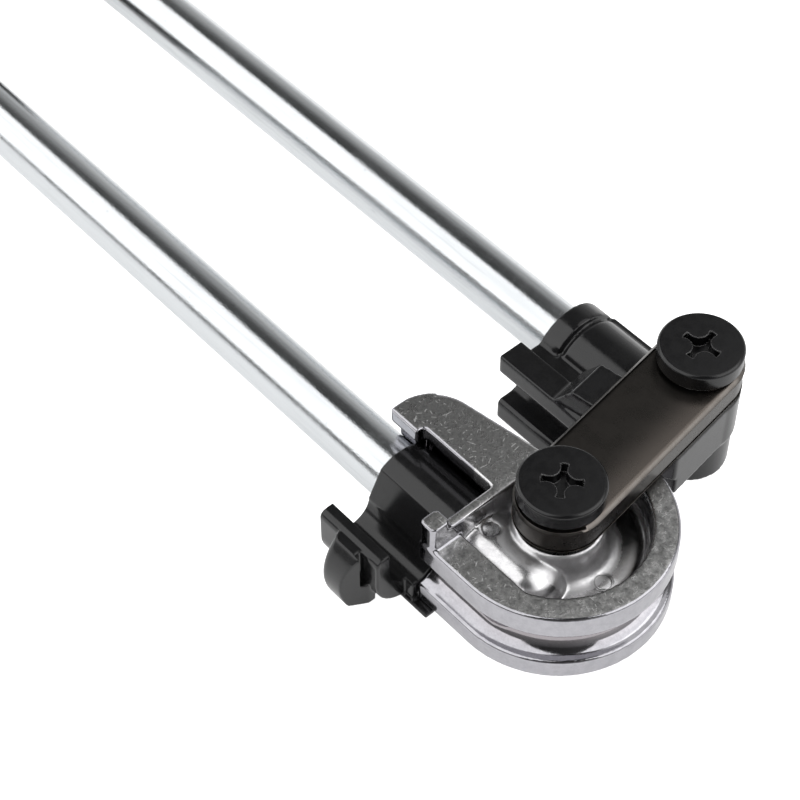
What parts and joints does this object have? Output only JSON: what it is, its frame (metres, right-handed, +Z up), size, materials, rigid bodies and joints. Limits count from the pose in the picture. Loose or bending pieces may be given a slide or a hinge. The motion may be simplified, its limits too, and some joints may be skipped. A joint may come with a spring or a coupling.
{
  "type": "pipe bender",
  "caption": "Lever pipe bender with a grooved bending die, a forming shoe on a pivoting link, tube handles with grips, and a hook latch that holds the tube in the groove.",
  "frame": {"origin": "on the die's pivot axis, in the plane that the tool lies on", "axes": "+Z up along the die's pivot, -X along the handles, +Y from the die towards the shoe"},
  "size_m": [0.382, 0.1104, 0.0402],
  "materials": {
    "cast_aluminium": "cast, satin",
    "plated_tube": "bright plated",
    "black_casting": "semi-gloss black",
    "black_steel": "blackened, satin",
    "black_screw": "black satin",
    "plain_steel": "turned",
    "bronze": "plain",
    "grip_rubber": "matte"
  },
  "bodies": {
    "die": {"bend_die": "cast_aluminium", "die_handle": "plated_tube", "die_handle_pin": "plain_steel", "die_grip": "grip_rubber", "die_pivot_screw": "black_screw", "die_head_washer": "black_screw", "die_pivot_spacer": "plain_steel", "die_nut_washer": "plain_steel", "die_pivot_nut": "plain_steel"},
    "link": {"link_plate": "black_steel", "link_bush": "bronze", "shoe_pivot_screw": "black_screw", "shoe_head_washer": "black_screw", "shoe_pivot_spacer": "plain_steel", "shoe_nut_washer": "plain_steel", "shoe_pivot_nut": "plain_steel"},
    "shoe": {"shoe": "black_casting", "shoe_bush": "bronze", "shoe_handle": "plated_tube", "shoe_handle_pin": "plain_steel", "shoe_grip": "grip_rubber"},
    "latch": {"latch": "black_casting"}
  },
  "joints": [
    {"name": "link_swing", "type": "hinge", "parent": "die", "child": "link", "pos_m": [0, 0, 0.013], "axis": [0, 0, 1], "range_deg": [-190, 0]},
    {"name": "shoe_tilt", "type": "hinge", "parent": "link", "child": "shoe", "pos_m": [-0.00763, 0.05427, 0.013], "axis": [0, 0, 1], "range_deg": [-90, 0]},
    {"name": "latch_flip", "type": "hinge", "parent": "die", "child": "latch", "pos_m": [0, -0.0132, 0.013], "axis": [1, 0, 0], "range_deg": [0, 90]}
  ]
}
